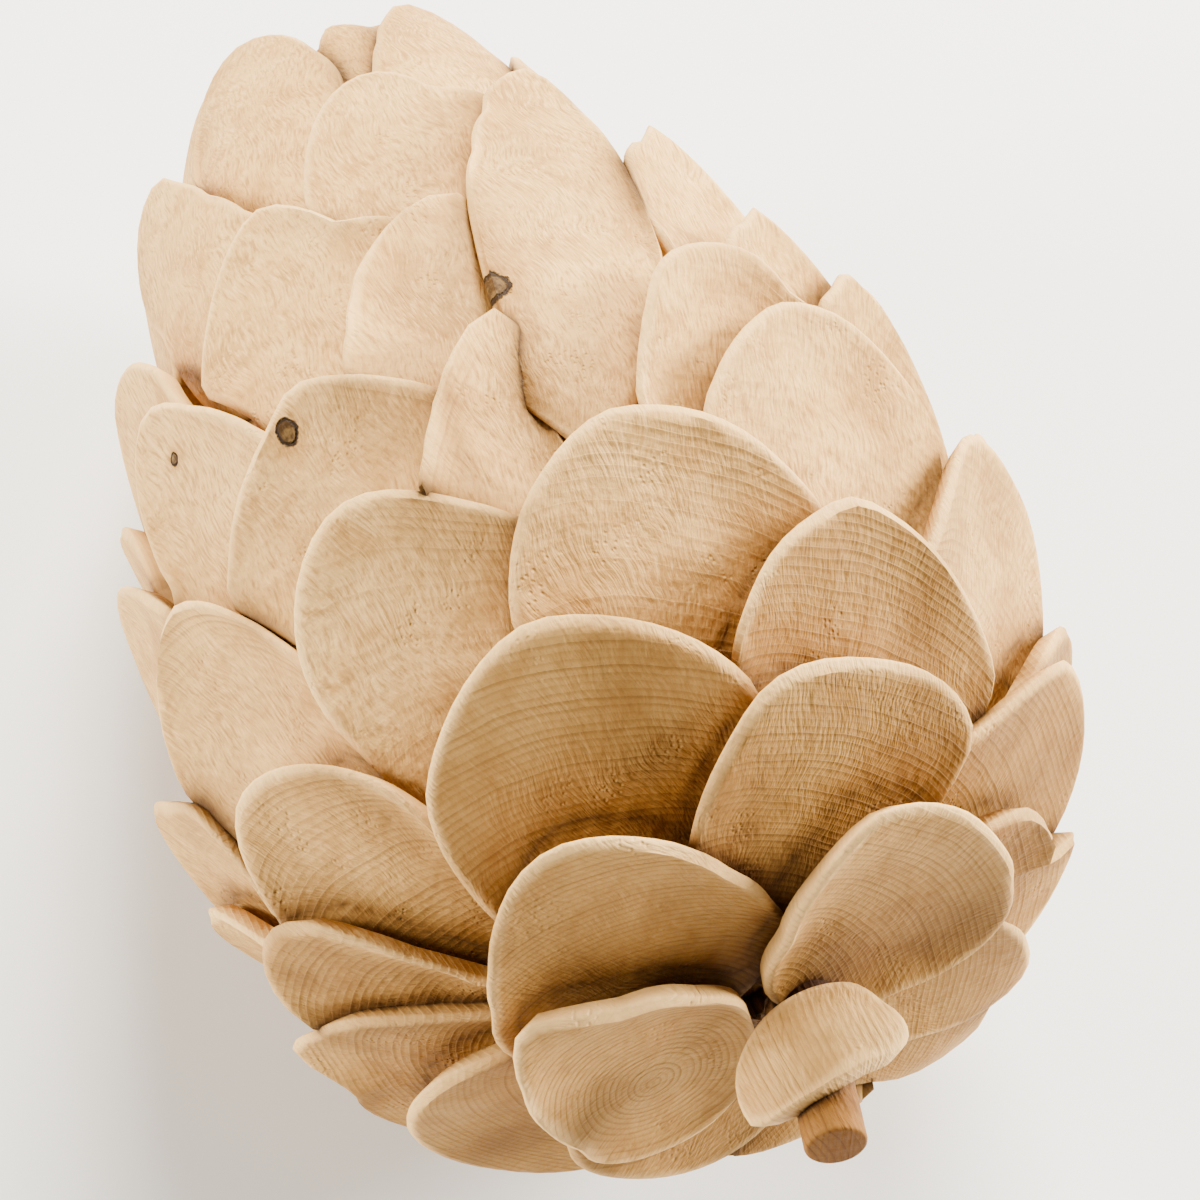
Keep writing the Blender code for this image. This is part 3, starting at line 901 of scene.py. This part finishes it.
def write_shelter(mesh, rays):
    """Writes how sheltered every point of the mesh is: 0 in the open, 1 at the bottom of a hollow."""
    tree = BVHTree.FromPolygons([v.co[:] for v in mesh.vertices], [p.vertices[:] for p in mesh.polygons])
    turns = np.arange(rays) * GOLDEN_TURN
    heights = 1 - (np.arange(rays) + 0.5) / rays
    outs = np.sqrt(1 - heights)
    directions = np.stack([outs * np.cos(turns), outs * np.sin(turns), np.sqrt(heights)], axis=1)
    values = []
    for vertex in mesh.vertices:
        normal = vertex.normal
        frame_turn = normal.to_track_quat("Z", "Y").to_matrix()
        start = vertex.co + normal * SHELTER_START
        found = [tree.ray_cast(start, frame_turn @ Vector(ray), SHELTER_REACH)[0] for ray in directions]
        values.append(sum(place is not None for place in found) / rays)
    mesh.attributes.new("shelter", "FLOAT", "POINT").data.foreach_set("value", values)


# Materials


def feed(tree, node, inputs):
    """Links or sets the inputs of a node."""
    for key, value in inputs.items():
        if isinstance(value, bpy.types.NodeSocket):
            tree.links.new(value, node.inputs[key])
        else:
            node.inputs[key].default_value = value


def put(tree, kind, inputs=None, **settings):
    """A new node with its settings made and its inputs set or linked."""
    node = tree.nodes.new(kind)
    for name, value in settings.items():
        setattr(node, name, value)
    feed(tree, node, inputs or {})
    return node


def written(tree, name, out="Fac"):
    """What the mesh carries under a name."""
    return put(tree, "ShaderNodeAttribute", attribute_name=name).outputs[out]


def calc(tree, operation, *values):
    return put(tree, "ShaderNodeMath", dict(enumerate(values)), operation=operation).outputs[0]


def vector_calc(tree, operation, *values, out="Vector"):
    return put(tree, "ShaderNodeVectorMath", dict(enumerate(values)), operation=operation).outputs[out]


def band(tree, value, low, high, low_out=0.0, high_out=1.0):
    """The value from low to high, eased in and out."""
    inputs = {"Value": value, "From Min": low, "From Max": high, "To Min": low_out, "To Max": high_out}
    return put(tree, "ShaderNodeMapRange", inputs, interpolation_type="SMOOTHSTEP").outputs["Result"]


def blend(tree, share, a, b, how="MIX"):
    inputs = {0: share, 6: a, 7: b}
    return put(tree, "ShaderNodeMix", inputs, data_type="RGBA", blend_type=how).outputs[2]


def noise(tree, place, scale, detail=2.0, roughness=0.5, out="Fac"):
    inputs = {"Vector": place, "Scale": scale, "Detail": detail, "Roughness": roughness}
    return put(tree, "ShaderNodeTexNoise", inputs).outputs[out]


def fading(tree, distance, reach):
    """1 at no distance, dying away over the reach."""
    return calc(tree, "EXPONENT", calc(tree, "DIVIDE", distance, -reach))


def mapped(tree, place, **sizes):
    return put(tree, "ShaderNodeMapping", {"Vector": place, **sizes}).outputs["Vector"]


def group(name, inputs, outputs):
    """A new node group, with its input sockets' values and its output sockets."""
    tree = bpy.data.node_groups.new(name, "ShaderNodeTree")
    for socket, kind, value in inputs:
        made = tree.interface.new_socket(name=socket, in_out="INPUT", socket_type=kind)
        if value is not None:
            made.default_value = value
    for socket, kind in outputs:
        tree.interface.new_socket(name=socket, in_out="OUTPUT", socket_type=kind)
    return tree, tree.nodes.new("NodeGroupInput").outputs, tree.nodes.new("NodeGroupOutput").inputs


def grouped(tree, made, inputs):
    """The outputs of a node group that is placed in a material."""
    node = tree.nodes.new("ShaderNodeGroup")
    node.node_tree = made
    feed(tree, node, inputs)
    return node.outputs


def growth_rings():
    """Late wood of the growth rings round the grain's axis, which is Y, and the fine fibres along it."""
    tree, given, out = group(
        "growth rings",
        [
            ("Place", "NodeSocketVector", None),
            ("Normal", "NodeSocketVector", None),
            ("Spacing", "NodeSocketFloat", 0.0012),
            ("Waver", "NodeSocketFloat", 0.002),
        ],
        [
            ("Late Wood", "NodeSocketFloat"),
            ("Fibres", "NodeSocketFloat"),
            ("End Grain", "NodeSocketFloat"),
            ("Flat Grain", "NodeSocketFloat"),
        ],
    )
    apart = put(tree, "ShaderNodeSeparateXYZ", {0: given["Place"]}).outputs
    flat = put(tree, "ShaderNodeCombineXYZ", {"X": apart["X"], "Z": apart["Z"]}).outputs[0]
    radius = vector_calc(tree, "LENGTH", flat, out="Value")
    long_place = vector_calc(tree, "MULTIPLY", given["Place"], (1, 0.35, 1))
    bend = calc(tree, "SUBTRACT", noise(tree, long_place, 28, 3.0), 0.5)
    small_bend = calc(tree, "SUBTRACT", noise(tree, given["Place"], 170, 1.0), 0.5)
    bent = calc(tree, "MULTIPLY_ADD", bend, calc(tree, "MULTIPLY", given["Waver"], 3.0), radius)
    bent = calc(tree, "MULTIPLY_ADD", small_bend, calc(tree, "MULTIPLY", given["Waver"], 0.18), bent)
    count = calc(tree, "DIVIDE", bent, given["Spacing"])
    share = calc(tree, "FRACT", count)
    late = calc(tree, "MULTIPLY", band(tree, share, 0.35, 0.86), band(tree, share, 0.9, 1.0, 1.0, 0.0))
    year = calc(tree, "FLOOR", count)
    strength = put(tree, "ShaderNodeTexWhiteNoise", {"W": year}, noise_dimensions="1D").outputs["Value"]
    late = calc(tree, "MULTIPLY", late, calc(tree, "MULTIPLY_ADD", strength, 0.65, 0.35))
    outward = vector_calc(tree, "NORMALIZE", flat)
    facing = calc(tree, "ABSOLUTE", vector_calc(tree, "DOT_PRODUCT", outward, given["Normal"], out="Value"))
    flat_grain = band(tree, facing, 0.55, 0.95)
    late = calc(tree, "MULTIPLY", late, calc(tree, "MULTIPLY_ADD", flat_grain, -0.8, 1.0))
    tree.links.new(late, out["Late Wood"])
    tree.links.new(flat_grain, out["Flat Grain"])
    along_grain = put(tree, "ShaderNodeSeparateXYZ", {0: given["Normal"]}).outputs["Y"]
    tree.links.new(band(tree, calc(tree, "ABSOLUTE", along_grain), 0.45, 1.0), out["End Grain"])
    fibre_place = vector_calc(tree, "MULTIPLY", given["Place"], (1, 0.03, 1))
    tree.links.new(noise(tree, fibre_place, 3200, 2.0), out["Fibres"])
    return tree


def tool_marks():
    """Short fine strokes of the knife and small pits, on a flat place in metres."""
    tree, given, out = group(
        "tool marks",
        [("Place", "NodeSocketVector", None)],
        [("Strokes", "NodeSocketFloat"), ("Pits", "NodeSocketFloat")],
    )
    drift = noise(tree, given["Place"], 35, 1.0)
    swirl = vector_calc(tree, "SUBTRACT", noise(tree, given["Place"], 45, out="Color"), (0.5, 0.5, 0.5))
    curved = vector_calc(tree, "MULTIPLY_ADD", swirl, (STROKE_SWIRL, STROKE_SWIRL, 0), given["Place"])
    along = mapped(tree, curved, Rotation=(0, 0, math.radians(12)), Scale=(1800, 380, 1))
    slanting = mapped(tree, curved, Rotation=(0, 0, math.radians(-58)), Scale=(1600, 340, 1))
    first = noise(tree, along, 1.0, 2.0)
    second = noise(tree, slanting, 1.0, 2.0)
    share = band(tree, drift, 0.42, 0.58)
    strokes = put(tree, "ShaderNodeMix", {0: share, 2: first, 3: second}, data_type="FLOAT").outputs[0]
    tree.links.new(strokes, out["Strokes"])
    spread = {"Vector": given["Place"], "Scale": 700}
    cells = put(tree, "ShaderNodeTexVoronoi", spread, voronoi_dimensions="2D").outputs["Distance"]
    pits = band(tree, cells, 0.0, 0.32, 1.0, 0.0)
    some = band(tree, noise(tree, given["Place"], 90, 2.0), 0.55, 0.68)
    tree.links.new(calc(tree, "MULTIPLY", pits, some), out["Pits"])
    return tree


def knot():
    """A branch that runs out from the grain's axis: its dark heart, cracked edge and stain round it."""
    tree, given, out = group(
        "knot",
        [
            ("Place", "NodeSocketVector", None),
            ("Along", "NodeSocketVector", None),
            ("Radius", "NodeSocketFloat", 0.003),
            ("Start", "NodeSocketFloat", 0.0),
            ("Unevenness", "NodeSocketFloat", 0.0),
        ],
        [("Heart", "NodeSocketFloat"), ("Crack", "NodeSocketFloat"), ("Stain", "NodeSocketFloat")],
    )
    reach = vector_calc(tree, "DOT_PRODUCT", given["Place"], given["Along"], out="Value")
    spine = {0: given["Along"], "Scale": reach}
    foot = put(tree, "ShaderNodeVectorMath", spine, operation="SCALE").outputs["Vector"]
    away = vector_calc(tree, "SUBTRACT", given["Place"], foot)
    away = vector_calc(tree, "MULTIPLY", away, (1, 0.85, 1))
    distance = calc(tree, "DIVIDE", vector_calc(tree, "LENGTH", away, out="Value"), given["Radius"])
    distance = calc(tree, "ADD", given["Unevenness"], distance)
    outside = calc(tree, "GREATER_THAN", reach, given["Start"])
    heart = calc(tree, "MULTIPLY", band(tree, distance, 0.75, 1.0, 1.0, 0.0), outside)
    edge = calc(tree, "ABSOLUTE", calc(tree, "SUBTRACT", distance, 0.85))
    crack = calc(tree, "MULTIPLY", band(tree, edge, 0.05, 0.2, 1.0, 0.0), outside)
    stain = calc(tree, "MULTIPLY", band(tree, distance, 0.9, 2.6, 1.0, 0.0), outside)
    tree.links.new(heart, out["Heart"])
    tree.links.new(crack, out["Crack"])
    tree.links.new(stain, out["Stain"])
    return tree


def wood(middle):
    """Bare stone pine: pale, with fine growth rings, knots, rims pale from wear and a painted highlight, and
    painted shade in the hollows, in the creases, below the rims in front and on the peg.
    """
    made = bpy.data.materials.new("stone pine wood")
    made.use_nodes = True
    tree = made.node_tree
    surface = tree.nodes["Principled BSDF"]
    place = put(tree, "ShaderNodeTexCoord").outputs["Object"]
    upright = Matrix.Rotation(DROOP, 3, "X") @ middle
    in_grain = mapped(tree, place, Location=upright - PITH, Rotation=(DROOP, 0, 0))
    on_face = written(tree, "place", "Vector")
    rim = written(tree, "rim")
    normal = put(tree, "ShaderNodeTexCoord").outputs["Normal"]
    normal_in_grain = put(
        tree, "ShaderNodeMapping", {"Vector": normal, "Rotation": (DROOP, 0, 0)}, vector_type="NORMAL"
    ).outputs["Vector"]
    rings = grouped(tree, growth_rings(), {
        "Place": in_grain,
        "Normal": normal_in_grain,
        "Spacing": RING_SPACING,
        "Waver": RING_WAVER,
    })
    marks = grouped(tree, tool_marks(), {"Place": on_face})

    # The bare wood
    patches = noise(tree, in_grain, 26, 4.0, 0.6)
    colour = blend(tree, band(tree, patches, 0.35, 0.65), PALE, WARM)
    smudges = noise(tree, on_face, 38, 3.0, 0.55)
    colour = blend(tree, band(tree, smudges, 0.45, 0.8, 0.0, 0.5), colour, STAIN, "MULTIPLY")
    mottle = noise(tree, on_face, 130, 4.0, 0.65)
    colour = blend(tree, band(tree, mottle, 0.42, 0.7, 0.0, 0.5), colour, STAIN, "MULTIPLY")
    colour = blend(tree, calc(tree, "MULTIPLY", rings["Late Wood"], 0.8), colour, LATE)
    colour = blend(tree, band(tree, rings["Fibres"], 0.5, 0.72, 0.0, 0.3), colour, LATE)
    cut = calc(tree, "MULTIPLY_ADD", rings["Flat Grain"], 0.65, 0.35)
    dark_strokes = calc(tree, "MULTIPLY", band(tree, marks["Strokes"], 0.5, 0.68, 0.0, 0.75), cut)
    pale_strokes = calc(tree, "MULTIPLY", band(tree, marks["Strokes"], 0.32, 0.48, 0.6, 0.0), cut)
    colour = blend(tree, dark_strokes, colour, LATE)
    colour = blend(tree, pale_strokes, colour, PALE_WEAR_AND_HIGHLIGHT)
    colour = blend(tree, calc(tree, "MULTIPLY", rings["End Grain"], 0.75), colour, END_GRAIN_AND_SHADE, "MULTIPLY")

    # Rims pale from wear and a painted highlight, painted shade in the hollows, the creases and below the
    # rims of scales in front, and painted shade on the peg
    # pale rims: partly wear, partly a painted highlight on the rounded lip
    inward = calc(tree, "SUBTRACT", rim, 0.5 * RAGGEDNESS)
    ragged = calc(tree, "MULTIPLY_ADD", noise(tree, place, 260), RAGGEDNESS, inward)
    colour = blend(tree, band(tree, ragged, *WORN_AND_HIGHLIT_RIM, 0.7, 0.0), colour, PALE_WEAR_AND_HIGHLIGHT)
    # painted shade in the hollows: darker where rays soon meet the piece itself
    hollow_shade = band(tree, written(tree, "shelter"), 0.2, 0.8, 0.0, 0.6)
    colour = blend(tree, hollow_shade, colour, END_GRAIN_AND_SHADE, "MULTIPLY")
    # painted shade along the creases: a wide soft darkening and a fine dark line
    crease = written(tree, "crease")
    wide = calc(tree, "MULTIPLY", fading(tree, crease, CREASE_WIDE), 0.85)
    colour = blend(tree, wide, colour, END_GRAIN_AND_SHADE, "MULTIPLY")
    colour = blend(tree, fading(tree, crease, CREASE_FINE), colour, CREASE_SHADE)
    # painted shadow cast by the rim of a scale in front: soft and wide, then a fine dark line beside the rim
    behind = written(tree, "behind")
    soft = calc(tree, "MULTIPLY", fading(tree, behind, BEHIND_WIDE), 0.9)
    colour = blend(tree, soft, colour, END_GRAIN_AND_SHADE, "MULTIPLY")
    line = calc(tree, "MULTIPLY", fading(tree, behind, BEHIND_FINE), 0.85)
    colour = blend(tree, line, colour, CREASE_SHADE)
    # painted shade: the whole peg darkened
    peg = band(tree, rim, 0.5 * PEG_MARK, 0.9 * PEG_MARK)
    colour = blend(tree, peg, colour, PEG_SHADE_TINT, "MULTIPLY")

    # Knots
    branches = knot()
    uneven = calc(tree, "MULTIPLY_ADD", noise(tree, in_grain, 330, 3.0, 0.7), 0.9, -0.45)
    heart = blend(tree, band(tree, uneven, -0.05, 0.15), HEART, PALE_HEART)
    crack = None
    for centre, radius in KNOTS:
        out_from_pith = Vector((centre.x - PITH.x, 0, centre.z - PITH.z))
        at_knot = mapped(tree, in_grain, Location=(0, -centre.y, 0))
        branch = grouped(tree, branches, {
            "Place": at_knot,
            "Along": out_from_pith.normalized(),
            "Radius": radius,
            "Start": out_from_pith.length - KNOT_DEPTH,
            "Unevenness": uneven,
        })
        colour = blend(tree, calc(tree, "MULTIPLY", branch["Stain"], 0.45), colour, STAIN, "MULTIPLY")
        colour = blend(tree, branch["Heart"], colour, heart)
        colour = blend(tree, branch["Crack"], colour, BARK)
        crack = branch["Crack"] if crack is None else calc(tree, "MAXIMUM", crack, branch["Crack"])
    tree.links.new(colour, surface.inputs["Base Color"])
    surface.inputs["Roughness"].default_value = 0.62
    surface.inputs["Specular IOR Level"].default_value = 0.12

    # Relief of the strokes, rings, pits and cracks
    height = calc(tree, "MULTIPLY", marks["Strokes"], 1.5)
    height = calc(tree, "MULTIPLY_ADD", rings["Late Wood"], 0.35, height)
    height = calc(tree, "MULTIPLY_ADD", marks["Pits"], -0.9, height)
    height = calc(tree, "MULTIPLY_ADD", noise(tree, place, 480, 3.0), 1.2, height)
    height = calc(tree, "MULTIPLY_ADD", noise(tree, place, 95, 3.0), 5.0, height)
    height = calc(tree, "MULTIPLY_ADD", crack, -3.0, height)
    bump = put(tree, "ShaderNodeBump", {"Height": height, "Strength": 0.9, "Distance": RELIEF})
    tree.links.new(bump.outputs["Normal"], surface.inputs["Normal"])
    return made


def floor_material():
    made = bpy.data.materials.new("pale floor")
    made.use_nodes = True
    surface = made.node_tree.nodes["Principled BSDF"]
    surface.inputs["Base Color"].default_value = FLOOR_COLOUR
    surface.inputs["Roughness"].default_value = 0.9
    return made


# The picture


def lying_frame(middle):
    """The move from the upright cone's frame to that of the cone as it lies."""
    return Matrix.Translation(-middle) @ Matrix.Rotation(-DROOP, 4, "X")


def camera(middle):
    """The photo's view of the cone."""
    made = bpy.data.cameras.new("photo view")
    made.lens = LENS
    made.sensor_width = SENSOR
    made.shift_x = 0.5 - AIM_IN_PHOTO[0] / PHOTO_SIZE
    made.shift_y = AIM_IN_PHOTO[1] / PHOTO_SIZE - 0.5
    made.clip_start = 0.01
    holder = bpy.data.objects.new("photo view", made)
    bpy.context.scene.collection.objects.link(holder)
    holder.matrix_world = lying_frame(middle) @ Matrix.Translation(EYE) @ EYE_TURN.to_4x4()
    bpy.context.scene.camera = holder


def lamp(name, direction, distance, size, power, colour):
    """A round soft lamp that shines on the cone from a direction."""
    made = bpy.data.lights.new(name, "AREA")
    made.shape = "DISK"
    made.size = size
    made.energy = power
    made.color = colour
    holder = bpy.data.objects.new(name, made)
    bpy.context.scene.collection.objects.link(holder)
    direction = Vector(direction).normalized()
    holder.location = LAMP_AIM + direction * distance
    holder.rotation_mode = "QUATERNION"
    holder.rotation_quaternion = (-direction).to_track_quat("-Z", "Y")


def studio():
    """The pale floor, the lamps and the soft light all round."""
    bpy.ops.mesh.primitive_plane_add(size=FLOOR_SIZE)
    floor = bpy.context.object
    floor.name = "floor"
    floor.data.materials.append(floor_material())
    for name, (direction, distance, size, power, colour) in LAMPS.items():
        lamp(name, direction, distance, size, power, colour)
    world = bpy.data.worlds.new("soft light")
    world.use_nodes = True
    world.node_tree.nodes["Background"].inputs["Color"].default_value = SKY_COLOUR
    world.node_tree.nodes["Background"].inputs["Strength"].default_value = SKY_STRENGTH
    bpy.context.scene.world = world


def carved_cone():
    """The cone in one piece, lying down, and the place that the floor's middle had before the move."""
    body = core()
    scales = carve_scales(collar_rows() | spiral_rows(), np.random.default_rng(4))
    joined(body, [stem()] + scales)
    middle = lay_down(body)
    write_crease(body.data)
    write_shelter(body.data, SHELTER_RAYS)
    body.data.shade_smooth()
    body.data.set_sharp_from_angle(angle=SHARP_EDGE)
    return body, middle


cone, MIDDLE = carved_cone()
cone.data.materials.clear()
cone.data.materials.append(wood(MIDDLE))
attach(cone, "root")
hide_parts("cone")
camera(MIDDLE)
studio()
